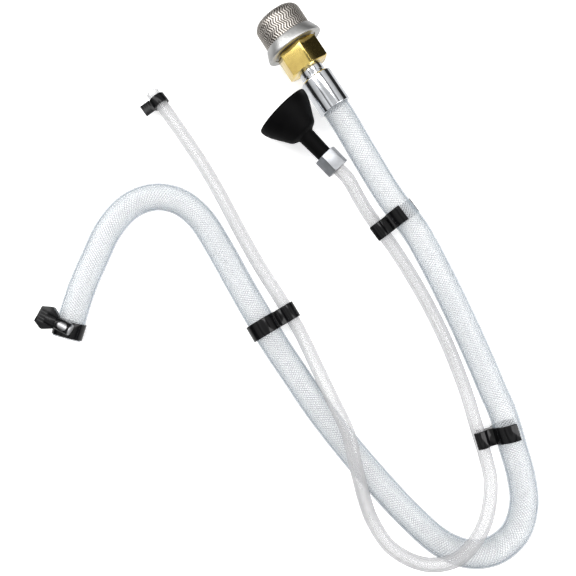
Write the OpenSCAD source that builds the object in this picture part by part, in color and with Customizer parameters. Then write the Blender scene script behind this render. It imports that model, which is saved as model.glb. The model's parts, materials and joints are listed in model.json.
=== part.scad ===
// Suction and return hose set for a fluid pump, laid out on the floor.
// Millimetres, +Z up, floor at z = 0, origin under the middle of the fittings.

/* [Suction hose] */
// Outer diameter of the suction hose
hose_od = 25; // [22:0.5:30]
// Bore of the suction hose
hose_id = 19; // [16:0.5:22]
// Depth of the open bore at the free end of the suction hose
hose_mouth = 38; // [20:1:40]

/* [Return tube] */
// Outer diameter of the return tube
tube_od = 12; // [10:0.5:14]
// Bore of the return tube
tube_id = 9; // [6:0.5:10]
// Depth of the open bore at the free end of the return tube
tube_mouth = 22; // [12:1:24]

/* [Strainer] */
// Outer diameter of the mesh cup
mesh_od = 45; // [38:0.5:48]
// Length of the mesh cup beyond the collar
mesh_length = 24.6; // [20:0.2:45]
// Radius of the rounded edge of the mesh cup
mesh_edge = 8.5; // [2:0.5:9]
// Largest diameter of the collar
collar_od = 54.5; // [50:0.5:56]
// Length of the collar
collar_length = 10.5; // [8:0.1:18]
// Holes in one row of the support cup
support_holes = 12; // [6:2:16]
// Rows of holes in the support cup
support_rows = 3; // [1:1:4]

/* [Hose fitting] */
// Width of the swivel nut across its flats
nut_flats = 36; // [32:0.5:38]
// Length of the swivel nut
nut_length = 22.3; // [16:0.1:26]
// Outer diameter of the crimp ferrule
ferrule_od = 30; // [27:0.5:32]
// Length of the crimp ferrule
ferrule_length = 33; // [24:0.5:40]
// Diameter of the bare neck of the hose stem
neck_od = 23; // [20:0.5:24]
// Length of the bare neck of the hose stem
neck_length = 9.5; // [8:0.1:16]

/* [Deflector] */
// Diameter of the bell's rim
bell_od = 53.6; // [40:0.2:56]
// Length of the bell
bell_length = 31; // [24:0.5:40]
// Length of the neck between the nut and the bell
bell_neck = 23.9; // [16:0.1:32]
// Wall of the bell
bell_wall = 2; // [1.4:0.1:3]
// Width of the tube nut across its flats
tube_nut_flats = 20; // [18:0.5:22]
// Length of the tube nut
tube_nut_length = 17.6; // [14:0.2:20]

/* [Worm clamp] */
// Width of the clamp band
band_width = 14.5; // [9:0.5:16]
// Thickness of the clamp band
band_thickness = 1.2; // [0.8:0.1:1.4]
// Width of the thumb key
key_width = 21; // [16:0.5:21]
// Length of the thumb key
key_length = 17; // [14:0.5:22]
// Thickness of the thumb key
key_thickness = 7; // [4:0.5:9]

/* [Snap clamp] */
// Outer diameter of the ring
snap_od = 16; // [15:0.1:16]
// Width of the ring along the tube
snap_width = 8.5; // [6:0.5:10]
// Length of the ribbed tab
snap_tab = 10; // [6:0.5:12]

/* [Clips] */
// Width of a clip along the hose
clip_width = 15; // [10:0.5:16]
// Wall round the hose
clip_hose_wall = 2.2; // [1.6:0.1:2.4]
// Wall round the tube
clip_tube_wall = 2; // [1.4:0.1:2]
// Distance between the hose and the tube in a clip
clip_centres = 26; // [24:0.5:28]

/* [View] */
// Sub-part to draw

/* [Hidden] */
$fn = 64;
eps = 0.01;
run = 0.05;        // radial clearance of a part that turns or screws
apart = 0.3;       // gap between parts that move against each other
shy = 0.15;        // how far a swept bar stays inside the round bar at its end
shift = [-2, -6, 0];   // moves the whole layout so that the origin is under its middle

// Suction fitting: distances along its axis from the mouth of the ferrule
suction_heading = 34;
suction_tilt = 4;
collar_s = ferrule_length + neck_length + nut_length + apart;
suction_at = [51, 112.1, collar_od / 2 * cos(suction_tilt) - collar_s * sin(suction_tilt)] + shift;
nut_s = ferrule_length + neck_length;
mesh_s = collar_s + collar_length;
mesh_top = mesh_s + mesh_length;
nut_turned = -28;
thread_r = 13.1;
flange_s = nut_s + 4;
stub_s = flange_s + 3.5;
plate_s = collar_s + 1.4;
neck_r = neck_od / 2;
hose_in_ferrule = ferrule_length - 4.2;
hose_lead = 12;

// Deflector: distances along its axis from the bottom of the tube nut
deflector_heading = 44.4;
deflector_tilt = 3;
bell_s = tube_nut_length + bell_neck;
rim_s = bell_s + bell_length;
deflector_at = [53.2, 56.4, bell_od / 2 * cos(deflector_tilt) - rim_s * sin(deflector_tilt)] + shift;
bell_thread_r = 6.7;
bell_neck_r = 7.2;
tube_lead = 12;
tube_seat = 9;

// Route of the suction hose on the floor, from the ferrule to the free end
hose_floor = hose_od / 2;
hose_route = [
    [78.2, 66.5, 21.8], [99.8, 31, 21.3], [121.2, 2, 21.3], [134, -19.5, 18.6],
    [150.4, -50, 14.4], [166.8, -84, 12.6], [182, -119, 12.6], [191, -142, 14],
    [198.6, -160.2, 15], [208.6, -195.2, 15], [214.6, -217, 13.8], [217, -242, 12.6],
    [209, -266.5, 12.5], [190, -282, 12.5], [168, -285, 12.5], [144, -276, 12.5],
    [115.5, -251.6, 12.5], [89.3, -223.7, 12.5], [62.3, -192.7, 12.5], [35.5, -158.5, 12.5],
    [14, -127, 13.6], [-4, -100, 15], [-22, -70, 15], [-37, -44, 13.8],
    [-55, -12, 12.5], [-72, 14, 12.5], [-91, 29, 12.5], [-113, 33, 12.5],
    [-135, 25, 12.5], [-154, 4, 12.8], [-166, -22, 13.5]];
hose_end_from = [-178, -51.6, 14] + shift;
hose_end_to = [-190.6, -94.8, 14] + shift;

// Route of the return tube, from the deflector to the free end; it crosses over the hose twice
tube_route = [
    [72, 32.5, 13.5], [83, 16.1, 8.1], [102, -9.7, 8.1],
    [120.3, -38, 6.4], [136.5, -67, 6], [149.6, -94, 6], [160.4, -121, 7],
    [168.6, -147, 11.5], [173.6, -167.3, 15], [183.6, -202.3, 15], [186.2, -220.5, 18.5],
    [181, -247, 26], [170, -267, 31], [153, -283, 33], [132, -290, 27],
    [114, -288, 18], [97, -278, 11], [83, -257, 11], [75, -236, 20],
    [70, -218, 29], [66, -203, 33], [60, -177, 33], [48.5, -152, 30],
    [36.5, -127, 22], [24, -100, 11], [17.5, -87.1, 8.1], [-0.5, -57.1, 8.1],
    [-9, -44, 7], [-22.5, -22, 6], [-38.5, 7, 6], [-54.5, 37, 6],
    [-71, 65, 6], [-89, 92, 6.6]];
tube_end_from = [-103, 112, 8.1] + shift;
tube_end_to = [-117.4, 131.2, 8.1] + shift;

// Clips: hose centre and the floor direction from the tube to the hose
clip_upper_at = [110.5, 16.5, 21.3] + shift;
clip_upper_heading = atan2(10.7, 14.5);
clip_upper_drop = 13.2;
clip_middle_at = [-13, -85, 15] + shift;
clip_middle_heading = atan2(12.9, 21.5);
clip_middle_drop = 6.9;
clip_lower_at = [203.6, -177.7, 15] + shift;
clip_lower_heading = atan2(50 / 7, 25);
clip_lower_drop = 0;

// Worm clamp: the screw lies across the crown of the hose
screw_height = 19.8;
screw_back = 2.5;
screw_turned = 12;
screw_r = 4.4;
housing_half = 6.3;
housing_r = 5.3;
window_r = 4.6;
key_from = housing_half + 0.4;

function unit(v) = v / norm(v);
function moved(points) = [for (p = points) p + shift];
function axis_dir(heading, tilt) =
    [-sin(heading) * cos(tilt), cos(heading) * cos(tilt), sin(tilt)];
function tangent(p, i) = unit(p[min(i + 1, len(p) - 1)] - p[max(i - 1, 0)]);
function side(t) = unit(cross(t, [0, 0, 1]));
function ring(p, i, r, n) =
    let (t = tangent(p, i), s = side(t), u = cross(t, s))
    [for (k = [0 : n - 1]) p[i] + r * (cos(360 * k / n) * s + sin(360 * k / n) * u)];
function wall_faces(m, n) =
    [for (i = [0 : m - 2]) for (k = [0 : n - 1])
        [i * n + k, (i + 1) * n + k, (i + 1) * n + (k + 1) % n, i * n + (k + 1) % n]];
function cap_faces(m, n) =
    [[for (k = [0 : n - 1]) k], [for (k = [n - 1 : -1 : 0]) (m - 1) * n + k]];

// A round bar swept through the points
module swept(points, r, n) {
    m = len(points);
    polyhedron(points = [for (i = [0 : m - 1]) each ring(points, i, r, n)],
               faces = concat(wall_faces(m, n), cap_faces(m, n)), convexity = 8);
}

// Puts the children's Z axis on the line from one point to another
module along(from, to) {
    d = to - from;
    translate(from)
        rotate([0, acos(d[2] / norm(d)), atan2(d[1], d[0])])
            children();
}

// Frames of the two fittings: Z along the axis, X level, -Y up
module suction_frame() {
    translate(suction_at)
        rotate([-(90 - suction_tilt), 0, suction_heading])
            children();
}

module deflector_frame() {
    translate(deflector_at)
        rotate([-(90 - deflector_tilt), 0, deflector_heading])
            children();
}

// Frame of a clamp at a free end: Z out along the hose, X level, Y up
module end_frame(from, to, back) {
    d = unit(to - from);
    translate(to - d * back)
        rotate([90, 0, atan2(d[1], d[0]) + 90])
            children();
}

module pipe(r_out, r_in, from, to) {
    translate([0, 0, from])
        difference() {
            cylinder(r = r_out, h = to - from);
            translate([0, 0, -1])
                cylinder(r = r_in, h = to - from + 2);
        }
}

module bore(r, from, to) {
    translate([0, 0, from])
        cylinder(r = r, h = to - from);
}

// Hexagon with its corners turned down at both ends
module hex_bar(flats, from, to, turn, down) {
    corner = flats / 2 / cos(30);
    intersection() {
        translate([0, 0, from])
            rotate([0, 0, turn])
                cylinder(r = corner, h = to - from, $fn = 6);
        rotate_extrude()
            polygon([[0, from], [corner - down, from], [corner + eps, from + down * 0.6],
                     [corner + eps, to - down * 0.6], [corner - down, to], [0, to]]);
    }
}

// ---- Strainer ----
module cup(r, wall, from, to, edge) {
    difference() {
        rotate_extrude()
            union() {
                polygon([[0, from], [r, from], [r, to - edge], [r - edge, to - edge],
                         [r - edge, to], [0, to]]);
                translate([r - edge, to - edge])
                    intersection() {
                        circle(r = edge);
                        square(edge);
                    }
            }
        rotate_extrude()
            union() {
                polygon([[0, from - 1], [r - wall, from - 1], [r - wall, to - edge],
                         [r - edge, to - edge], [r - edge, to - wall], [0, to - wall]]);
                translate([r - edge, to - edge])
                    intersection() {
                        circle(r = edge - wall);
                        square(edge - wall);
                    }
            }
    }
}

module strainer_mesh() {
    color([0.55, 0.53, 0.5])
        suction_frame()
            cup(mesh_od / 2, 0.8, plate_s + 3, mesh_top, mesh_edge);
}

module strainer_support() {
    r = mesh_od / 2 - 0.8;
    color([0.5, 0.5, 0.5])
        suction_frame()
            difference() {
                cup(r, 1, plate_s + 3, mesh_top - 0.8, mesh_edge - 0.8);
                for (row = [0 : support_rows - 1])
                    for (k = [0 : support_holes - 1])
                        translate([0, 0, mesh_s + 2.6 + row * 5.3])
                            rotate([90, 0, 360 * k / support_holes])
                                translate([0, 0, r - 4])
                                    cylinder(r = 2.1, h = 6);
            }
}

module strainer_collar() {
    mesh_r = mesh_od / 2;
    color([0.7, 0.7, 0.7])
        suction_frame()
            rotate_extrude()
                polygon([[mesh_r - 1.2, collar_s], [collar_od / 2 - 0.5, collar_s],
                         [collar_od / 2, collar_s + 0.6], [collar_od / 2 - 0.3, collar_s + 2.6],
                         [mesh_r + 1.3, mesh_s - 0.8], [mesh_r + 0.8, mesh_s],
                         [mesh_r, mesh_s], [mesh_r, plate_s],
                         [mesh_r - 1.2, plate_s]]);
}

module strainer_base() {
    color([0.6, 0.6, 0.58])
        suction_frame()
            difference() {
                union() {
                    bore(mesh_od / 2, plate_s, plate_s + 3);
                    bore(thread_r, stub_s, plate_s + 1);
                }
                bore(9, stub_s - 1, plate_s + 4);
            }
}

// ---- Swivel fitting ----
module seat_washer() {
    color([0.15, 0.15, 0.15])
        suction_frame()
            pipe(12.6, 8.2, flange_s + 2, stub_s - apart);
}

module swivel_nut() {
    color([0.8, 0.62, 0.25])
        suction_frame()
            difference() {
                hex_bar(nut_flats, nut_s, nut_s + nut_length, nut_turned, 1.6);
                bore(neck_r + run, nut_s - 1, nut_s + 5);
                bore(thread_r + run, flange_s - 0.5, nut_s + nut_length + 1);
                translate([0, 0, nut_s + 1.8])
                    rotate_extrude()
                        translate([neck_r, 0])
                            circle(r = 1.1, $fn = 24);
            }
}

module nut_wire() {
    color([0.6, 0.6, 0.6])
        suction_frame()
            translate([0, 0, nut_s + 1.8])
                rotate_extrude()
                    translate([neck_r, 0])
                        circle(r = 0.75, $fn = 24);
}

module hose_stem() {
    color([0.8, 0.82, 0.85])
        suction_frame()
            difference() {
                union() {
                    rotate_extrude()
                        polygon([[0, 2], [hose_id / 2 - 1, 2], [hose_id / 2, 4],
                                 [hose_id / 2, hose_in_ferrule], [neck_r, hose_in_ferrule],
                                 [neck_r, ferrule_length + 0.4],
                                 [neck_r - 0.6, ferrule_length + 0.8],
                                 [neck_r - 0.6, ferrule_length + 2.4],
                                 [neck_r, ferrule_length + 2.8], [neck_r, flange_s],
                                 [0, flange_s]]);
                    bore(12.8, flange_s, flange_s + 2);
                }
                bore(7.5, 1, flange_s + 3);
                translate([0, 0, nut_s + 1.8])
                    rotate_extrude()
                        translate([neck_r, 0])
                            circle(r = 0.75, $fn = 24);
            }
}

module crimp_ferrule() {
    r = ferrule_od / 2;
    color([0.8, 0.82, 0.85])
        suction_frame()
            rotate_extrude()
                polygon([[hose_od / 2, 0], [r - 0.5, 0], [r, 0.5], [r, ferrule_length - 1],
                         [r - 1, ferrule_length], [neck_r, ferrule_length],
                         [neck_r, hose_in_ferrule], [hose_od / 2, hose_in_ferrule]]);
}

module suction_hose() {
    back = axis_dir(suction_heading, suction_tilt);
    start = suction_at - hose_lead * back;
    out = unit(hose_end_to - hose_end_from);
    points = concat([start + back, start], moved(hose_route), [hose_end_from, hose_end_from + out]);
    color([0.75, 0.82, 0.88])
        difference() {
            union() {
                swept(points, hose_od / 2 - shy, 12);
                suction_frame()
                    bore(hose_od / 2, -hose_lead, hose_in_ferrule);
                along(hose_end_from, hose_end_to)
                    cylinder(r = hose_od / 2, h = norm(hose_end_to - hose_end_from));
            }
            suction_frame()
                bore(hose_id / 2, -hose_lead / 2, hose_in_ferrule + 1);
            along(hose_end_to - hose_mouth * out, hose_end_to)
                cylinder(r = hose_id / 2, h = hose_mouth + 1);
        }
}

// ---- Worm clamp ----
module clamp_frame() {
    end_frame(hose_end_from, hose_end_to, band_width / 2 + 1)
        children();
}

module clamp_band() {
    color([0.08, 0.08, 0.08])
        clamp_frame()
            pipe(hose_od / 2 + band_thickness, hose_od / 2, -band_width / 2, band_width / 2);
}

module screw_seat() {
    clamp_frame()
        translate([0, 0, -screw_back])
            rotate([0, -screw_turned, 0])
                children();
}

module screw_frame() {
    screw_seat()
        translate([0, screw_height, 0])
            rotate([0, -90, 0])
                children();
}

module clamp_housing() {
    color([0.08, 0.08, 0.08])
        difference() {
            union() {
                screw_frame()
                    bore(housing_r, -housing_half, housing_half);
                screw_seat()
                    translate([-housing_half, hose_od / 2, -housing_r])
                        cube([housing_half * 2, screw_height - hose_od / 2, housing_r * 2]);
            }
            screw_frame()
                bore(screw_r + run, -housing_half - 1, housing_half + 1);
            clamp_frame()
                bore(hose_od / 2 + band_thickness, -20, 20);
            screw_seat()
                translate([0, screw_height, 0])
                    rotate([-90, 0, 0])
                        cylinder(r = window_r, h = housing_r + 1);
        }
}

module clamp_screw() {
    color([0.7, 0.7, 0.72])
        screw_frame()
            difference() {
                union() {
                    bore(screw_r, -housing_half - apart - 1, key_from + 2);
                    bore(screw_r + 0.6, -housing_half - apart - 1, -housing_half - apart);
                }
                translate([-5.5, -0.5, -housing_half - apart - 2])
                    cube([11, 1, 1.5]);
            }
}

module thumb_key() {
    w = key_width / 2;
    z0 = key_from;
    z1 = key_from + key_length;
    color([0.1, 0.1, 0.1])
        screw_frame()
            difference() {
                union() {
                    rotate([90, 0, 0])
                        translate([0, 0, -key_thickness / 2])
                            linear_extrude(key_thickness)
                                polygon([[-6, z0], [6, z0], [w, z0 + 0.45 * key_length],
                                         [w, z0 + 0.57 * key_length], [0.68 * w, z1],
                                         [-0.68 * w, z1], [-w, z0 + 0.57 * key_length],
                                         [-w, z0 + 0.45 * key_length]]);
                    bore(6, z0, z0 + 9);
                    for (y = [-1, 1])
                        for (k = [-2 : 2])
                            translate([k * 2.7, y * key_thickness / 2, z0 + 0.58 * key_length])
                                cube([1.3, 1.2, key_length - 7], center = true);
                }
                bore(screw_r, z0 - 1, z0 + 2);
            }
}

// ---- Return line ----
module tube_nut() {
    color([0.72, 0.73, 0.74])
        deflector_frame()
            difference() {
                hex_bar(tube_nut_flats, 0, tube_nut_length, 5, 0.9);
                bore(tube_od / 2 + run, -1, tube_seat);
                bore(bell_thread_r + run, tube_seat - 0.6, tube_nut_length + 1);
            }
}

module tube_insert() {
    color([0.75, 0.65, 0.4])
        deflector_frame()
            difference() {
                union() {
                    bore(tube_id / 2, 1, tube_seat + 0.5);
                    bore(6.4, tube_seat, tube_seat + 1.5);
                }
                bore(3.2, 0, tube_seat + 2);
            }
}

module insert_seal() {
    color([0.12, 0.12, 0.12])
        deflector_frame()
            pipe(6.3, 3.6, tube_seat + 1.5, tube_seat + 2.5);
}

module deflector() {
    r = bell_od / 2;
    k = bell_length / 31;
    g = bell_od / 53.6;
    from = tube_seat + 2.5 + apart;
    w = bell_wall;
    color([0.06, 0.06, 0.06])
        deflector_frame()
            difference() {
                rotate_extrude()
                    polygon([[4, from], [bell_thread_r, from],
                             [bell_thread_r, tube_nut_length + apart],
                             [bell_neck_r, tube_nut_length + apart + 0.3],
                             [bell_neck_r + 0.5, bell_s - 0.6], [8.2, bell_s + 0.2],
                             [13.3 * g, bell_s + 3.1 * k], [14.8 * g, bell_s + 4.7 * k],
                             [17.8 * g, bell_s + 9.8 * k], [21.2 * g, bell_s + 15.4 * k],
                             [24.2 * g, bell_s + 20.8 * k], [25.9 * g, bell_s + 25 * k],
                             [26.6 * g, bell_s + 28 * k], [r, rim_s - 1.5], [r, rim_s - 0.4],
                             [r - 0.4, rim_s], [r - w - 0.2, rim_s],
                             [26.4 * g - w, bell_s + 28 * k], [25.7 * g - w, bell_s + 25 * k],
                             [24 * g - w, bell_s + 20.8 * k], [21 * g - w, bell_s + 15.4 * k],
                             [17.6 * g - w, bell_s + 9.8 * k], [13.4 * g, bell_s + 5.8 * k],
                             [8, bell_s + 3.4 * k], [5.5, bell_s + 2.6], [4, bell_s]]);
                for (x = [-1, 1])
                    for (y = [-0.6, 0.6])
                        translate([x * 10.6, y, bell_s - 3])
                            cylinder(r = 1.9, h = 12);
            }
}

module return_tube() {
    back = axis_dir(deflector_heading, deflector_tilt);
    start = deflector_at - tube_lead * back;
    out = unit(tube_end_to - tube_end_from);
    points = concat([start + back, start], moved(tube_route), [tube_end_from, tube_end_from + out]);
    color([0.85, 0.86, 0.87])
        difference() {
            union() {
                swept(points, tube_od / 2 - shy, 8);
                deflector_frame()
                    bore(tube_od / 2, -tube_lead, tube_seat);
                along(tube_end_from, tube_end_to)
                    cylinder(r = tube_od / 2, h = norm(tube_end_to - tube_end_from));
            }
            deflector_frame()
                bore(tube_id / 2, -2, tube_seat + 1);
            along(tube_end_to - tube_mouth * out, tube_end_to)
                cylinder(r = tube_id / 2, h = tube_mouth + 1);
        }
}

// ---- Snap clamp ----
module snap_frame() {
    end_frame(tube_end_from, tube_end_to, 10.5)
        children();
}

module sector(r, a0, a1) {
    mid = (a0 + a1) / 2;
    polygon([[0, 0], r * [cos(a0), sin(a0)], 1.5 * r * [cos((a0 + mid) / 2), sin((a0 + mid) / 2)],
             1.5 * r * [cos(mid), sin(mid)],
             1.5 * r * [cos((a1 + mid) / 2), sin((a1 + mid) / 2)], r * [cos(a1), sin(a1)]]);
}

module arc(r_in, r_out, a0, a1) {
    intersection() {
        difference() {
            circle(r = r_out);
            circle(r = r_in);
        }
        sector(r_out * 1.3, a0, a1);
    }
}

module snap_clamp_ring() {
    r = snap_od / 2;
    color([0.1, 0.1, 0.1])
        snap_frame()
            union() {
                translate([0, 0, -snap_width / 2])
                    linear_extrude(snap_width)
                        arc(tube_od / 2, r, 181.5, 357);
                translate([r - 1, -2.8, -2])
                    cube([7, 2.2, 4]);
            }
}

module snap_clamp_jaw() {
    r = snap_od / 2;
    color([0.1, 0.1, 0.1])
        snap_frame()
            union() {
                translate([0, 0, -snap_width / 2])
                    linear_extrude(snap_width)
                        union() {
                            arc(tube_od / 2 + 0.05, r, 5, 178.5);
                        }
                translate([r - 0.8, 0.9, -5.2])
                    cube([snap_tab, 2.4, 10.4]);
                for (k = [0 : 3])
                    translate([r + 1.2 + k * 2.1, 3.2, -5.2])
                        cube([1, 0.7, 10.4]);
            }
}

// ---- Clips ----
module clip_shape(hose_arc, tube_arc) {
    hr = hose_od / 2 + run;
    tr = tube_od / 2 + run;
    web = clip_centres - hr - tr;
    union() {
        arc(hr, hr + clip_hose_wall, hose_arc[0], hose_arc[1]);
        translate([-clip_centres, 0])
            arc(tr, tr + clip_tube_wall, tube_arc[0], tube_arc[1]);
        difference() {
            translate([-clip_centres + tr + 0.5, -4.5])
                square([web - 1, 9]);
            circle(r = hr);
            translate([-clip_centres, 0])
                circle(r = tr);
        }
    }
}

// A clip on the hose; roll turns it about the hose, the arcs say where its two holders are closed
module clip(at, heading, roll, hose_arc = [66, 317], tube_arc = [-90, 133]) {
    color([0.05, 0.05, 0.05])
        translate(at)
            rotate([90, 0, heading])
                rotate([0, 0, roll])
                    translate([0, 0, -clip_width / 2])
                        linear_extrude(clip_width)
                            clip_shape(hose_arc, tube_arc);
}

module hose_clip_upper() {
    clip(clip_upper_at, clip_upper_heading, asin(clip_upper_drop / clip_centres));
}

module hose_clip_middle() {
    clip(clip_middle_at, clip_middle_heading, 180 - asin(clip_middle_drop / clip_centres),
         [125, 378], [-172, 50]);
}

module hose_clip_lower() {
    clip(clip_lower_at, clip_lower_heading, asin(clip_lower_drop / clip_centres));
}

strainer_mesh();
strainer_support();
strainer_collar();
strainer_base();
seat_washer();
swivel_nut();
nut_wire();
hose_stem();
crimp_ferrule();
suction_hose();
clamp_band();
clamp_housing();
clamp_screw();
thumb_key();
deflector();
tube_nut();
tube_insert();
insert_seal();
return_tube();
snap_clamp_ring();
snap_clamp_jaw();
hose_clip_upper();
hose_clip_middle();
hose_clip_lower();
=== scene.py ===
"""Suction and return hose set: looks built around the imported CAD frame. Metres, +Z up."""

import json
import math

import bmesh
import bpy
import numpy as np
from mathutils import Euler, Matrix, Vector


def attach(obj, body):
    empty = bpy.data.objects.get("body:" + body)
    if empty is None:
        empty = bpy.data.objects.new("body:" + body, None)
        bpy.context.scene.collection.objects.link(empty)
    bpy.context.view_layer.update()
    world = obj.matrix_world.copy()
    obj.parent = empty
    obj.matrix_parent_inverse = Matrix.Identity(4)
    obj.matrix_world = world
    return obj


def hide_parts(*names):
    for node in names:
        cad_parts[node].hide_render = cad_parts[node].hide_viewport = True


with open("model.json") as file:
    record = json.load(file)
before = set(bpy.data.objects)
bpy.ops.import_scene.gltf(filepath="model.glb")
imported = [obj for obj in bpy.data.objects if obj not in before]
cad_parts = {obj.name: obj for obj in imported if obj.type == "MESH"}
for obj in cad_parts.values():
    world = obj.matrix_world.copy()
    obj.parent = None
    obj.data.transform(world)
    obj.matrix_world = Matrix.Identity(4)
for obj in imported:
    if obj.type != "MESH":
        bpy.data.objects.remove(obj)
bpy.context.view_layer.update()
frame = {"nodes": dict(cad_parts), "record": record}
BODIES = {n: b for b, names in frame["record"]["behaviour"]["bodies"].items() for n in names}

MM = 0.001
SHIFT = Vector((-2, -6, 0))

# Sizes in millimetres, as in the CAD model; the two skins lie 0.05 mm inside the CAD's hoses
HOSE_R, HOSE_BORE = 12.45, 9.5
TUBE_R, TUBE_BORE = 5.95, 4.5
SUCTION_HEADING, SUCTION_TILT = 34.0, 4.0
BELL_HEADING, BELL_TILT = 44.4, 3.0
FERRULE, NECK, NUT = 33.0, 9.5, 22.3
COLLAR_S = FERRULE + NECK + NUT + 0.3
MESH_S, MESH_R, MESH_LENGTH, MESH_EDGE = COLLAR_S + 10.5, 22.5, 24.6, 8.5
COLLAR_R, BELL_R = 27.25, 26.8
TUBE_NUT, BELL_NECK, BELL = 17.6, 23.9, 31.0

# How far each skin goes into its fitting, its straight lead, the braid, and the lines' steps
HOSE_INSIDE, TUBE_INSIDE, LEAD = 12.0, 3.0, 12.0
BRAID_R, STRANDS, BRAID_PITCH, YARN = 11.4, 20, 49.0, 0.24

SKIN_STEP, BRAID_STEP, TUBE_STEP = 4.0, 3.0, 3.0

# Degrees between faces where an edge is rounded, and where it is shaded sharp
BEVEL_FROM, SHARP_FROM = 32, 28


def axis_dir(heading, tilt):
    h, t = math.radians(heading), math.radians(tilt)
    return Vector((-math.sin(h) * math.cos(t), math.cos(h) * math.cos(t), math.sin(t)))


def fitting_matrix(at, heading, tilt):
    """Z along the fitting's axis, X level, -Y up, in metres."""
    turn = Euler((-math.radians(90 - tilt), 0, math.radians(heading)), "XYZ")
    return Matrix.Translation(at * MM) @ turn.to_matrix().to_4x4()


SUCTION_AT = Vector((51, 112.1, COLLAR_R * math.cos(math.radians(SUCTION_TILT))
                     - COLLAR_S * math.sin(math.radians(SUCTION_TILT)))) + SHIFT
RIM_S = TUBE_NUT + BELL_NECK + BELL
BELL_AT = Vector((53.2, 56.4, BELL_R * math.cos(math.radians(BELL_TILT))
                  - RIM_S * math.sin(math.radians(BELL_TILT)))) + SHIFT
SUCTION_FRAME = fitting_matrix(SUCTION_AT, SUCTION_HEADING, SUCTION_TILT)
BELL_FRAME = fitting_matrix(BELL_AT, BELL_HEADING, BELL_TILT)

HOSE_ROUTE = [
    (78.2, 66.5, 21.8), (99.8, 31, 21.3), (121.2, 2, 21.3), (134, -19.5, 18.6),
    (150.4, -50, 14.4), (166.8, -84, 12.6), (182, -119, 12.6), (191, -142, 14),
    (198.6, -160.2, 15), (208.6, -195.2, 15), (214.6, -217, 13.8), (217, -242, 12.6),
    (209, -266.5, 12.5), (190, -282, 12.5), (168, -285, 12.5), (144, -276, 12.5),
    (115.5, -251.6, 12.5), (89.3, -223.7, 12.5), (62.3, -192.7, 12.5), (35.5, -158.5, 12.5),
    (14, -127, 13.6), (-4, -100, 15), (-22, -70, 15), (-37, -44, 13.8),
    (-55, -12, 12.5), (-72, 14, 12.5), (-91, 29, 12.5), (-113, 33, 12.5),
    (-135, 25, 12.5), (-154, 4, 12.8), (-166, -22, 13.5), (-178, -51.6, 14), (-190.6, -94.8, 14)]
TUBE_ROUTE = [
    (72, 32.5, 13.5), (83, 16.1, 8.1), (102, -9.7, 8.1),
    (120.3, -38, 6.4), (136.5, -67, 6), (149.6, -94, 6), (160.4, -121, 7),
    (168.6, -147, 11.5), (173.6, -167.3, 15), (183.6, -202.3, 15), (186.2, -220.5, 18.5),
    (181, -247, 26), (170, -267, 31), (153, -283, 33), (132, -290, 27),
    (114, -288, 18), (97, -278, 11), (83, -257, 11), (75, -236, 20),
    (70, -218, 29), (66, -203, 33), (60, -177, 33), (48.5, -152, 30),
    (36.5, -127, 22), (24, -100, 11), (17.5, -87.1, 8.1), (-0.5, -57.1, 8.1),
    (-9, -44, 7), (-22.5, -22, 6), (-38.5, 7, 6), (-54.5, 37, 6),
    (-71, 65, 6), (-89, 92, 6.6), (-103, 112, 8.1), (-117.4, 131.2, 8.1)]


# ---------------------------------------------------------------- camera, light, floor
# The camera's place from the point that it looks at, in millimetres, its lens and its sensor
AIM, CAMERA_FROM_AIM = Vector((8, -50, 13.5)), Vector((0, -38, 638.9))
LENS, SENSOR = 44.4, 36

# Brightness of the studio round the object by the height of the direction, from below to overhead
SKY = [(-1.0, 0.9), (-0.34, 0.8), (-0.24, 0.03), (0.26, 0.02), (0.36, 0.45), (0.6, 0.7),
       (0.77, 0.85), (0.81, 0.1), (0.85, 0.1), (0.89, 0.8), (0.945, 1.0), (0.97, 0.6), (1.0, 0.6)]


def add_camera():
    look_at = (AIM + SHIFT) * MM
    camera = bpy.data.cameras.new("camera")
    camera.sensor_width = SENSOR
    camera.lens = LENS
    ob = bpy.data.objects.new("camera", camera)
    bpy.context.scene.collection.objects.link(ob)
    ob.location = look_at + CAMERA_FROM_AIM * MM
    ob.rotation_euler = (look_at - ob.location).to_track_quat("-Z", "Y").to_euler()
    bpy.context.scene.camera = ob


def add_area(name, place, aim, size, watts):
    light = bpy.data.lights.new(name, "AREA")
    light.shape = "RECTANGLE"
    light.size, light.size_y = size
    light.energy = watts
    ob = bpy.data.objects.new(name, light)
    bpy.context.scene.collection.objects.link(ob)
    ob.location = place
    ob.rotation_euler = (Vector(aim) - Vector(place)).to_track_quat("-Z", "Y").to_euler()


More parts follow.
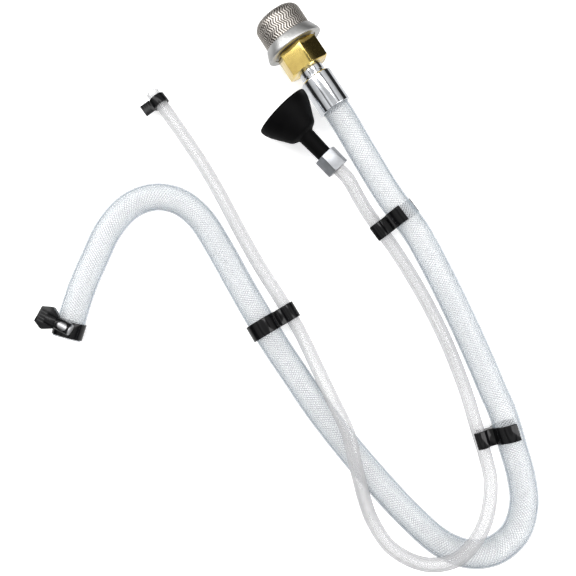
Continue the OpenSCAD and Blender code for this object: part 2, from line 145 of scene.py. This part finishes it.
def add_studio():
    world = bpy.data.worlds.new("studio")
    bpy.context.scene.world = world
    world.use_nodes = True
    tree = world.node_tree
    split = tree.nodes.new("ShaderNodeSeparateXYZ")
    tree.links.new(tree.nodes.new("ShaderNodeTexCoord").outputs["Generated"], split.inputs[0])
    up = tree.nodes.new("ShaderNodeMapRange")
    up.inputs["From Min"].default_value = -1
    tree.links.new(split.outputs["Z"], up.inputs["Value"])
    ramp = tree.nodes.new("ShaderNodeValToRGB")
    while len(ramp.color_ramp.elements) < len(SKY):
        ramp.color_ramp.elements.new(0.5)
    for stop, (height, level) in zip(ramp.color_ramp.elements, SKY):
        stop.position = (height + 1) / 2
        stop.color = (level, level, level, 1)
    tree.links.new(up.outputs["Result"], ramp.inputs["Fac"])
    tree.links.new(ramp.outputs["Color"], tree.nodes["Background"].inputs[0])
    tree.nodes["Background"].inputs[1].default_value = 1.0
    # The bands are for lighting and reflections; the backdrop itself is plain and pale
    plain = tree.nodes.new("ShaderNodeBackground")
    plain.inputs[0].default_value = (0.93, 0.93, 0.93, 1)
    either = tree.nodes.new("ShaderNodeMixShader")
    tree.links.new(tree.nodes.new("ShaderNodeLightPath").outputs["Is Camera Ray"], either.inputs[0])
    tree.links.new(tree.nodes["Background"].outputs[0], either.inputs[1])
    tree.links.new(plain.outputs[0], either.inputs[2])
    tree.links.new(either.outputs[0], tree.nodes["World Output"].inputs[0])
    add_area("key_left", (-0.75, 0.35, 0.75), (0, -0.05, 0), (0.5, 1.1), 7)
    add_area("key_right", (0.8, -0.1, 0.6), (0.05, -0.05, 0), (0.35, 1.2), 5)
    add_area("top", (0, 0.5, 1.2), (0, -0.05, 0), (0.8, 0.3), 3.5)
    mesh = bpy.data.meshes.new("floor")
    far = 3.0
    corners = [(-far, -far, 0), (far, -far, 0), (far, far, 0), (-far, far, 0)]
    mesh.from_pydata(corners, [], [(0, 1, 2, 3)])
    floor = bpy.data.objects.new("floor", mesh)
    bpy.context.scene.collection.objects.link(floor)
    mat, shader = new_material("floor_paper")
    shader.inputs["Base Color"].default_value = (0.92, 0.92, 0.92, 1)
    shader.inputs["Roughness"].default_value = 0.9
    shader.inputs["Specular IOR Level"].default_value = 0.1
    shader.inputs["Emission Color"].default_value = (1, 1, 1, 1)
    shader.inputs["Emission Strength"].default_value = 0.5
    mesh.materials.append(mat)
    floor.visible_glossy = False
    bpy.context.scene.view_settings.view_transform = "Standard"


# ---------------------------------------------------------------- materials
def new_material(name):
    mat = bpy.data.materials.new(name)
    mat.use_nodes = True
    return mat, mat.node_tree.nodes["Principled BSDF"]


class Graph:
    """Short calls for a material's nodes."""

    def __init__(self, name):
        self.mat, self.shader = new_material(name)
        self.tree = self.mat.node_tree

    def node(self, kind, **settings):
        n = self.tree.nodes.new(kind)
        for key, value in settings.items():
            setattr(n, key, value)
        return n

    def link(self, a, b):
        self.tree.links.new(a, b)

    def coords(self, matrix=None):
        """Object coordinates in metres, in a fitting's own frame when a matrix is given."""
        out = self.node("ShaderNodeTexCoord").outputs["Object"]
        if matrix is None:
            return out
        m = self.node("ShaderNodeMapping", vector_type="TEXTURE")
        m.inputs["Location"].default_value = matrix.to_translation()
        m.inputs["Rotation"].default_value = matrix.to_euler("XYZ")
        self.link(out, m.inputs["Vector"])
        return m.outputs["Vector"]

    def noise(self, scale, detail=4.0, vector=None, rough=0.55):
        n = self.node("ShaderNodeTexNoise")
        n.inputs["Scale"].default_value = scale
        n.inputs["Detail"].default_value = detail
        n.inputs["Roughness"].default_value = rough
        self.link(vector or self.coords(), n.inputs["Vector"])
        return n.outputs["Fac"]

    def ramp(self, value, stops):
        r = self.node("ShaderNodeValToRGB")
        e = r.color_ramp.elements
        while len(e) < len(stops):
            e.new(0.5)
        for el, (pos, colour) in zip(e, stops):
            el.position = pos
            el.color = (*colour, 1) if len(colour) == 3 else colour
        self.link(value, r.inputs["Fac"])
        return r.outputs["Color"]

    def span(self, value, low, high, a=0.0, b=1.0):
        m = self.node("ShaderNodeMapRange")
        for key, v in (("From Min", a), ("From Max", b), ("To Min", low), ("To Max", high)):
            m.inputs[key].default_value = v
        self.link(value, m.inputs["Value"])
        return m.outputs["Result"]

    def bump(self, height, distance, strength):
        b = self.node("ShaderNodeBump")
        b.inputs["Strength"].default_value = strength
        b.inputs["Distance"].default_value = distance
        self.link(height, b.inputs["Height"])
        self.link(b.outputs["Normal"], self.shader.inputs["Normal"])

    def colour(self, socket):
        self.link(socket, self.shader.inputs["Base Color"])

    def rough(self, socket):
        self.link(socket, self.shader.inputs["Roughness"])


def shades(c, low, high):
    return tuple(v * low for v in c), tuple(min(1.0, v * high) for v in c)


def turned_metal(name, colour, matrix, roughness, lines=0.0):
    """Metal with faint tool marks round a fitting's axis, darker stains and uneven gloss."""
    g = Graph(name)
    at = g.coords(matrix)
    stretched = g.node("ShaderNodeMapping")
    stretched.inputs["Scale"].default_value = (12, 12, 1500)
    g.link(at, stretched.inputs["Vector"])
    marks = g.noise(1.0, 3, stretched.outputs["Vector"])
    cloud = g.noise(90, 5)
    dark, light = shades(colour, 0.82, 1.12)
    g.colour(g.ramp(cloud, [(0.3, dark), (0.7, light)]))
    g.rough(g.span(marks, roughness * 0.7, roughness * 1.4))
    g.shader.inputs["Metallic"].default_value = 1.0
    if lines:
        g.bump(marks, lines * MM, 0.5)
    return g.mat


def moulded(name, colour, roughness, grain, depth, coat=0.0, specular=0.12):
    """Moulded plastic or paint: fine grain, and patches of colour and gloss."""
    g = Graph(name)
    specks = g.noise(grain, 3)
    patches = g.noise(60, 5)
    dark, light = shades(colour, 0.75, 1.35)
    g.colour(g.ramp(patches, [(0.35, dark), (0.75, light)]))
    g.rough(g.span(patches, roughness * 0.8, roughness * 1.3, 0.3, 0.7))
    g.bump(specks, depth * MM, 0.6)
    g.shader.inputs["Specular IOR Level"].default_value = specular
    g.shader.inputs["Coat Weight"].default_value = coat
    g.shader.inputs["Coat Roughness"].default_value = 0.06
    return g.mat


def clear_wall(name, tint, edge, low, high, roughness):
    """Clear vinyl: less clear where the wall is seen edge on, with a faint haze; its colour there is
    painted darker, partly for the longer way through the vinyl and partly as painted shade.
    """
    g = Graph(name)
    facing = g.node("ShaderNodeLayerWeight")
    facing.inputs["Blend"].default_value = 0.5
    f = facing.outputs["Facing"]
    haze = g.noise(35, 4)
    # Painted shade: the colour turns from the tint to the darker edge colour where the wall is seen edge
    # on
    g.colour(g.ramp(f, [(0.25, tint), (0.9, edge)]))
    edge_on = g.node("ShaderNodeMath", operation="POWER")
    g.link(f, edge_on.inputs[0])
    edge_on.inputs[1].default_value = 1.7
    add = g.node("ShaderNodeMath", operation="MULTIPLY_ADD")
    g.link(haze, add.inputs[0])
    add.inputs[1].default_value = 0.12
    g.link(g.span(edge_on.outputs[0], low, high), add.inputs[2])
    g.link(add.outputs[0], g.shader.inputs["Alpha"])
    g.rough(g.span(haze, roughness * 0.7, roughness * 1.5))
    g.shader.inputs["IOR"].default_value = 1.53
    return g.mat


def yarn_material():
    """White yarn, painted darker and less see-through towards the sides of the hose: the darkening is
    painted shade.
    """
    g = Graph("hose_yarn")
    twist = g.noise(900, 2)
    out = g.node("ShaderNodeAttribute", attribute_name="out").outputs["Vector"]
    facing = g.node("ShaderNodeLayerWeight")
    facing.inputs["Blend"].default_value = 0.5
    g.link(out, facing.inputs["Normal"])
    mix = g.node("ShaderNodeMath", operation="MULTIPLY_ADD")
    g.link(twist, mix.inputs[0])
    mix.inputs[1].default_value = 0.25
    g.link(facing.outputs["Facing"], mix.inputs[2])
    # Painted shade: white where the yarn faces the camera, dark grey towards the hose's sides
    g.colour(g.ramp(mix.outputs[0], [(0.2, (0.98, 0.99, 1.0)), (0.45, (0.72, 0.77, 0.81)),
                                     (0.85, (0.20, 0.26, 0.32))]))
    g.link(g.span(mix.outputs[0], 0.3, 1.0, 0.1, 0.8), g.shader.inputs["Alpha"])
    g.shader.inputs["Roughness"].default_value = 0.4
    return g.mat


def weave_material():
    """Steel wire with painted shade: dark in the hollows between the wires, lighter on the wire crests."""
    g = Graph("wire_weave")
    depth = g.node("ShaderNodeAttribute", attribute_name="height").outputs["Fac"]
    cloud = g.noise(120, 5)
    mix = g.node("ShaderNodeMath", operation="MULTIPLY_ADD")
    g.link(cloud, mix.inputs[0])
    mix.inputs[1].default_value = 0.35
    g.link(g.span(depth, -0.15, 0.8), mix.inputs[2])
    # Painted shade: the wire's height sets its colour, dark in the hollows and light on the crests
    g.colour(g.ramp(mix.outputs[0], [(0.1, (0.06, 0.052, 0.045)), (0.4, (0.42, 0.385, 0.35)),
                                     (0.85, (0.88, 0.84, 0.79))]))
    g.rough(g.span(cloud, 0.28, 0.5))
    g.shader.inputs["Metallic"].default_value = 0.9
    return g.mat


# ---------------------------------------------------------------- mesh helpers
def add_mesh(name, verts, faces, materials, indices=None):
    mesh = bpy.data.meshes.new(name)
    mesh.from_pydata([tuple(v) for v in verts], [], [tuple(f) for f in faces])
    for m in materials:
        mesh.materials.append(m)
    if indices is not None:
        mesh.polygons.foreach_set("material_index", np.asarray(indices, np.int32))
    mesh.polygons.foreach_set("use_smooth", np.ones(len(mesh.polygons), bool))
    mesh.update()
    ob = bpy.data.objects.new(name, mesh)
    bpy.context.scene.collection.objects.link(ob)
    return ob


def shade_smooth(mesh, sharp_degrees):
    mesh.polygons.foreach_set("use_smooth", np.ones(len(mesh.polygons), bool))
    mesh.set_sharp_from_angle(angle=math.radians(sharp_degrees))


def outward(ob):
    """Turns every face's normal to the outside."""
    bm = bmesh.new()
    bm.from_mesh(ob.data)
    bmesh.ops.recalc_face_normals(bm, faces=bm.faces)
    bm.to_mesh(ob.data)
    bm.free()


def smooth_route(points, per=10):
    """A centripetal curve through the points, which keeps the straight stretches straight."""
    p = np.array(points, float)
    q = np.vstack([2 * p[0] - p[1], p, 2 * p[-1] - p[-2]])
    out = []
    for i in range(1, len(q) - 2):
        p0, p1, p2, p3 = q[i - 1:i + 3]
        t1 = np.linalg.norm(p1 - p0) ** 0.5
        t2 = t1 + np.linalg.norm(p2 - p1) ** 0.5
        t3 = t2 + np.linalg.norm(p3 - p2) ** 0.5
        for t in t1 + (t2 - t1) * np.arange(per) / per:
            a1 = (t1 - t) / t1 * p0 + t / t1 * p1
            a2 = (t2 - t) / (t2 - t1) * p1 + (t - t1) / (t2 - t1) * p2
            a3 = (t3 - t) / (t3 - t2) * p2 + (t - t2) / (t3 - t2) * p3
            b1 = (t2 - t) / t2 * a1 + t / t2 * a2
            b2 = (t3 - t) / (t3 - t1) * a2 + (t - t1) / (t3 - t1) * a3
            out.append((t2 - t) / (t2 - t1) * b1 + (t - t1) / (t2 - t1) * b2)
    out.append(p[-1])
    return np.array(out)


def even_steps(path, step):
    """The same line with points at even distances."""
    s = np.concatenate([[0], np.cumsum(np.linalg.norm(np.diff(path, axis=0), axis=1))])
    at = np.linspace(0, s[-1], max(2, int(round(s[-1] / step)) + 1))
    return np.stack([np.interp(at, s, path[:, k]) for k in range(3)], 1), at


def frames_along(path):
    """The line's direction at each point, a level side direction and the third one."""
    t = np.gradient(path, axis=0)
    t /= np.linalg.norm(t, axis=1)[:, None]
    side = np.cross(t, (0, 0, 1.0))
    side /= np.linalg.norm(side, axis=1)[:, None]
    return t, side, np.cross(t, side)


def tube_mesh(name, path, r_out, r_in, sides, wall, bore):
    """A hollow hose with flat ends: the outer wall, the inner wall and a ring at each end."""
    _, s, u = frames_along(path)
    a = np.arange(sides) * 2 * math.pi / sides
    circle = (np.cos(a)[None, :, None] * s[:, None] + np.sin(a)[None, :, None] * u[:, None])
    m = len(path)
    verts = np.concatenate([(path[:, None] + r * circle).reshape(-1, 3) for r in (r_out, r_in)]) * MM
    faces, index = [], []
    inner = m * sides
    for i in range(m - 1):
        for k in range(sides):
            j = (k + 1) % sides
            a0, a1, b0, b1 = i * sides + k, i * sides + j, (i + 1) * sides + k, (i + 1) * sides + j
            faces.append((a0, a1, b1, b0))
            faces.append((inner + a0, inner + b0, inner + b1, inner + a1))
            index += [0, 1]
    for base, flip in ((0, False), ((m - 1) * sides, True)):
        for k in range(sides):
            j = (k + 1) % sides
            f = (base + k, inner + base + k, inner + base + j, base + j)
            faces.append(f[::-1] if flip else f)
            index.append(0)
    ob = add_mesh(name, verts, faces, [wall, bore], index)
    outward(ob)
    shade_smooth(ob.data, 50)
    return ob


def braid_mesh(name, path, at, radius, strands, pitch, thick, material):
    """Yarns wound both ways round the line, each a thin three-sided strand."""
    t, s, u = frames_along(path)
    verts, faces, outs = [], [], []
    base = 0
    corner = [(-1, -0.4), (1, -0.4), (0, 0.6)]
    across, forward = 0.57, 0.82  # the yarn's width lies square to its own slope
    outer_broad, inner_broad = 1.5, 0.7
    layer = 0.15
    for way in (1, -1):
        for n in range(strands):
            a = way * (2 * math.pi * at / pitch) + 2 * math.pi * n / strands
            c, d = np.cos(a)[:, None], np.sin(a)[:, None]
            out = c * s + d * u
            along = way * (c * u - d * s)
            width = along * across - t * forward
            lift = radius + layer * way
            broad = thick * (outer_broad if way > 0 else inner_broad)
            rings = [path + out * (lift + thick * y) + width * broad * x for x, y in corner]
            verts.append(np.stack(rings, 1).reshape(-1, 3))
            outs.append(np.repeat(out, 3, axis=0))
            m = len(path)
            i = np.arange(m - 1)[:, None] * 3 + base
            for k in range(3):
                j = (k + 1) % 3
                faces.append(np.hstack([i + k, i + j, i + 3 + j, i + 3 + k]))
            base += m * 3
    ob = add_mesh(name, np.concatenate(verts) * MM, np.concatenate(faces), [material])
    # Each yarn's outward direction, which the yarn's material turns into painted shade
    data = ob.data.attributes.new("out", "FLOAT_VECTOR", "POINT").data
    data.foreach_set("vector", np.concatenate(outs).astype(np.float32).ravel())
    return ob


def lathe(name, profile, segments, matrix, materials):
    """Turns a closed outline of (radius, height) points in millimetres round Z."""
    n = len(profile)
    a = np.arange(segments) * 2 * math.pi / segments
    verts = [(r * math.cos(x) * MM, r * math.sin(x) * MM, z * MM) for x in a for r, z in profile]
    faces = []
    for i in range(segments):
        j = (i + 1) % segments
        for k in range(n):
            up = (k + 1) % n
            faces.append((i * n + k, j * n + k, j * n + up, i * n + up))
    ob = add_mesh(name, verts, faces, materials)
    ob.data.transform(matrix)
    outward(ob)
    return ob


def applied(ob):
    """Replaces the object's mesh with its modifiers' result."""
    bpy.context.view_layer.update()
    done = bpy.data.meshes.new_from_object(ob.evaluated_get(bpy.context.evaluated_depsgraph_get()))
    ob.modifiers.clear()
    ob.data = done


def fine(node, material, width):
    """The CAD node with rounded edges, width in millimetres, and smooth shading."""
    ob = bpy.data.objects.new(node + "_fine", frame["nodes"][node].data.copy())
    bpy.context.scene.collection.objects.link(ob)
    bm = bmesh.new()
    bm.from_mesh(ob.data)
    bmesh.ops.remove_doubles(bm, verts=bm.verts, dist=1e-6)
    bmesh.ops.dissolve_limit(bm, angle_limit=math.radians(0.4), verts=bm.verts, edges=bm.edges)
    bm.to_mesh(ob.data)
    bm.free()
    bevel = ob.modifiers.new("edges", "BEVEL")
    bevel.width = width * MM
    bevel.segments = 3
    bevel.limit_method = "ANGLE"
    bevel.angle_limit = math.radians(BEVEL_FROM)
    applied(ob)
    ob.data.materials.clear()
    ob.data.materials.append(material)
    shade_smooth(ob.data, SHARP_FROM)
    stand_for(ob, node)


def stand_for(ob, node):
    """The object takes the CAD node's place: its body."""
    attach(ob, BODIES[node])
    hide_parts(node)


# ---------------------------------------------------------------- hoses
def route_points(at, heading, tilt, inside, route):
    """From inside the fitting straight out for the lead, then along the route."""
    way = axis_dir(heading, tilt)
    return [at + way * inside, at - way * LEAD] + [Vector(p) + SHIFT for p in route]


def add_hoses():
    points = route_points(SUCTION_AT, SUCTION_HEADING, SUCTION_TILT, HOSE_INSIDE, HOSE_ROUTE)
    path, _ = even_steps(smooth_route(points), SKIN_STEP)
    # The second colour of the wall and of the bore is painted shade, used where the hose's wall is seen
    # edge on
    wall = clear_wall("hose_wall", (0.93, 0.95, 0.97), (0.36, 0.42, 0.48), 0.0, 0.8, 0.08)
    bore = clear_wall("hose_bore", (0.90, 0.92, 0.94), (0.86, 0.88, 0.90), 0.15, 0.4, 0.12)
    hose = tube_mesh("hose_skin", path, HOSE_R, HOSE_BORE, 48, wall, bore)
    hose.visible_shadow = False
    stand_for(hose, "suction_hose")
    yarn_path, at = even_steps(smooth_route(points), BRAID_STEP)
    braid = braid_mesh("hose_braid", yarn_path, at, BRAID_R, STRANDS, BRAID_PITCH, YARN,
                       yarn_material())
    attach(braid, BODIES["suction_hose"])

    points = route_points(BELL_AT, BELL_HEADING, BELL_TILT, TUBE_INSIDE, TUBE_ROUTE)
    path, _ = even_steps(smooth_route(points), TUBE_STEP)
    # The second colour of the wall and of the bore is painted shade, used where the tube's wall is seen
    # edge on
    wall = clear_wall("tube_wall", (0.74, 0.74, 0.75), (0.34, 0.34, 0.35), 0.22, 0.95, 0.07)
    bore = clear_wall("tube_bore", (0.66, 0.66, 0.67), (0.46, 0.46, 0.47), 0.2, 0.7, 0.1)
    tube = tube_mesh("tube_skin", path, TUBE_R, TUBE_BORE, 32, wall, bore)
    stand_for(tube, "return_tube")


# ---------------------------------------------------------------- strainer
def add_weave():
    """The wire cup: a cup turned round the axis, with the wires raised from it in waves."""
    from_s, top = COLLAR_S + 4.6, MESH_S + MESH_LENGTH
    around, depth = 420, 0.34
    wires, wave, cross = 56, 7.5, 1.5
    sway, wander = 2.3, 1.1
    inset, gap = 0.35, 0.6
    run = [(MESH_R - inset, z) for z in np.arange(from_s, top - MESH_EDGE, 0.5)]
    bend = MESH_EDGE - inset
    run += [(MESH_R - MESH_EDGE + bend * math.cos(x), top - MESH_EDGE + bend * math.sin(x))
            for x in np.linspace(0, math.pi / 2, 14)]
    run += [(r, top - inset) for r in np.arange(MESH_R - MESH_EDGE - gap, 0.5, -gap)]
    run = np.array(run)
    s = np.concatenate([[0], np.cumsum(np.linalg.norm(np.diff(run, axis=0), axis=1))])
    d = np.gradient(run, axis=0)
    d /= np.linalg.norm(d, axis=1)[:, None]
    normal = np.stack([d[:, 1], -d[:, 0]], 1)
    verts, heights = [], []
    for i in range(around):
        a = 2 * math.pi * i / around
        bendy = (sway * np.sin(2 * math.pi * s / wave + 1.2 * math.sin(4 * a + 0.6))
                 + wander * np.sin(3 * a + s / 3))
        h = 0.5 + 0.5 * np.sin(wires * a + bendy)
        h = h * (0.72 + 0.28 * np.sin(2 * math.pi * s / cross + wires * a / 2))
        verts.append(np.stack([(run[:, 0] + normal[:, 0] * h * depth) * math.cos(a),
                               (run[:, 0] + normal[:, 0] * h * depth) * math.sin(a),
                               run[:, 1] + normal[:, 1] * h * depth], 1))
        heights.append(h)
    n = len(run)
    verts = np.concatenate(verts)
    heights = np.concatenate(heights)
    faces = [(i * n + k, ((i + 1) % around) * n + k, ((i + 1) % around) * n + k + 1, i * n + k + 1)
             for i in range(around) for k in range(n - 1)]
    faces.append([i * n + n - 1 for i in range(around)])
    ob = add_mesh("strainer_weave", verts * MM, faces, [weave_material()])
    # The wires' height, which the weave's material turns into painted shade
    data = ob.data.attributes.new("height", "FLOAT", "POINT").data
    data.foreach_set("value", heights.astype(np.float32))
    ob.data.transform(SUCTION_FRAME)
    outward(ob)
    stand_for(ob, "strainer_mesh")


# ---------------------------------------------------------------- deflector
def add_bell():
    """The deflector: its neck and bell turned as one wall, with two oval holes near the neck."""
    neck, rim, s = 7.2, BELL_R, TUBE_NUT + BELL_NECK
    outside = [(neck + 0.6, s - 1.5), (neck + 0.7, s - 0.4), (8.6, s + 0.5), (11, s + 1.8),
               (13.3, s + 3.1), (14.8, s + 4.7), (17.8, s + 9.8), (21.2, s + 15.4),
               (24.2, s + 20.8), (25.9, s + 25), (26.6, s + 28), (rim, s + 30.1)]
    outside = smooth_route([(r, 0, z) for r, z in outside], 5)[:, [0, 2]]
    inside = smooth_route([(r, 0, z) for r, z in
                           [(24.6, s + 30.4), (24.4, s + 28), (23.7, s + 25), (22.0, s + 20.8),
                            (19.0, s + 15.4), (15.6, s + 9.8), (12.6, s + 5.6), (9.5, s + 4),
                            (5.8, s + 2.7), (4.0, s + 0.5)]], 5)[:, [0, 2]]
    profile = [(4.0, 11.8), (6.7, 11.8), (6.7, TUBE_NUT + 0.3), (neck, TUBE_NUT + 0.6)]
    profile += [tuple(p) for p in outside] + [(rim - 0.4, s + BELL), (rim - 1.6, s + BELL)]
    profile += [tuple(p) for p in inside]
    mat = moulded("deflector_shell", (0.003, 0.003, 0.0032), 0.5, 1500, 0.05, specular=0.05)
    ob = lathe("deflector_bell", profile, 96, Matrix.Identity(4), [mat])
    hole, off = 1.9, 10.6
    outline = [(0.001, s - 3), (hole, s - 3), (hole, s + 9), (0.001, s + 9)]
    oval = Matrix.Diagonal((1, 1.3, 1, 1))
    cut = [lathe("cutter", outline, 24, Matrix.Translation(Vector((x * off, 0, 0)) * MM) @ oval, [mat])
           for x in (-1, 1)]
    for c in cut:
        mod = ob.modifiers.new("hole", "BOOLEAN")
        mod.object = c
        mod.operation = "DIFFERENCE"
    applied(ob)
    for c in cut:
        bpy.data.objects.remove(c)
    ob.data.transform(BELL_FRAME)
    shade_smooth(ob.data, 40)
    ob.visible_glossy = False
    stand_for(ob, "deflector")


# ---------------------------------------------------------------- hard parts
def add_hard_parts():
    """The metal and moulded pieces: CAD shapes with rounded edges, and small or inner ones as they are."""
    steel = turned_metal("collar_metal", (0.62, 0.62, 0.61), SUCTION_FRAME, 0.42, 0.05)
    brass = turned_metal("nut_metal", (0.96, 0.69, 0.21), SUCTION_FRAME, 0.13, 0.02)
    chrome = turned_metal("plated_metal", (0.78, 0.80, 0.83), SUCTION_FRAME, 0.1)
    grey = turned_metal("tube_nut_metal", (0.42, 0.43, 0.45), BELL_FRAME, 0.32, 0.03)
    yellow = turned_metal("insert_metal", (0.80, 0.62, 0.28), BELL_FRAME, 0.25)
    bright = turned_metal("housing_metal", (0.55, 0.55, 0.56), SUCTION_FRAME, 0.4)
    seal = moulded("seal_material", (0.02, 0.02, 0.02), 0.6, 900, 0.05)
    clip = moulded("clip_material", (0.004, 0.004, 0.0045), 0.16, 700, 0.01, coat=0.3)
    band = moulded("band_paint", (0.005, 0.005, 0.0055), 0.16, 500, 0.01, coat=0.3)
    key = moulded("key_material", (0.005, 0.005, 0.0055), 0.25, 1100, 0.03, coat=0.1, specular=0.2)
    snap = moulded("snap_material", (0.006, 0.006, 0.0065), 0.2, 800, 0.02, coat=0.2)
    for node, material, width in (
            ("strainer_collar", steel, 0.4), ("swivel_nut", brass, 0.45), ("hose_stem", chrome, 0.2),
            ("crimp_ferrule", chrome, 0.3), ("tube_nut", grey, 0.35), ("clamp_band", band, 0.25),
            ("clamp_housing", band, 0.4), ("clamp_screw", bright, 0.25), ("thumb_key", key, 0.35),
            ("snap_clamp_ring", snap, 0.35), ("snap_clamp_jaw", snap, 0.3),
            ("hose_clip_upper", clip, 0.6), ("hose_clip_middle", clip, 0.6),
            ("hose_clip_lower", clip, 0.6)):
        fine(node, material, width)
    for node, material in (("strainer_support", steel), ("strainer_base", steel), ("seat_washer", seal),
                           ("nut_wire", steel), ("tube_insert", yellow), ("insert_seal", seal)):
        mesh = frame["nodes"][node].data
        mesh.materials.clear()
        mesh.materials.append(material)
        shade_smooth(mesh, SHARP_FROM)


add_camera()
add_hoses()
add_studio()
add_weave()
add_bell()
add_hard_parts()
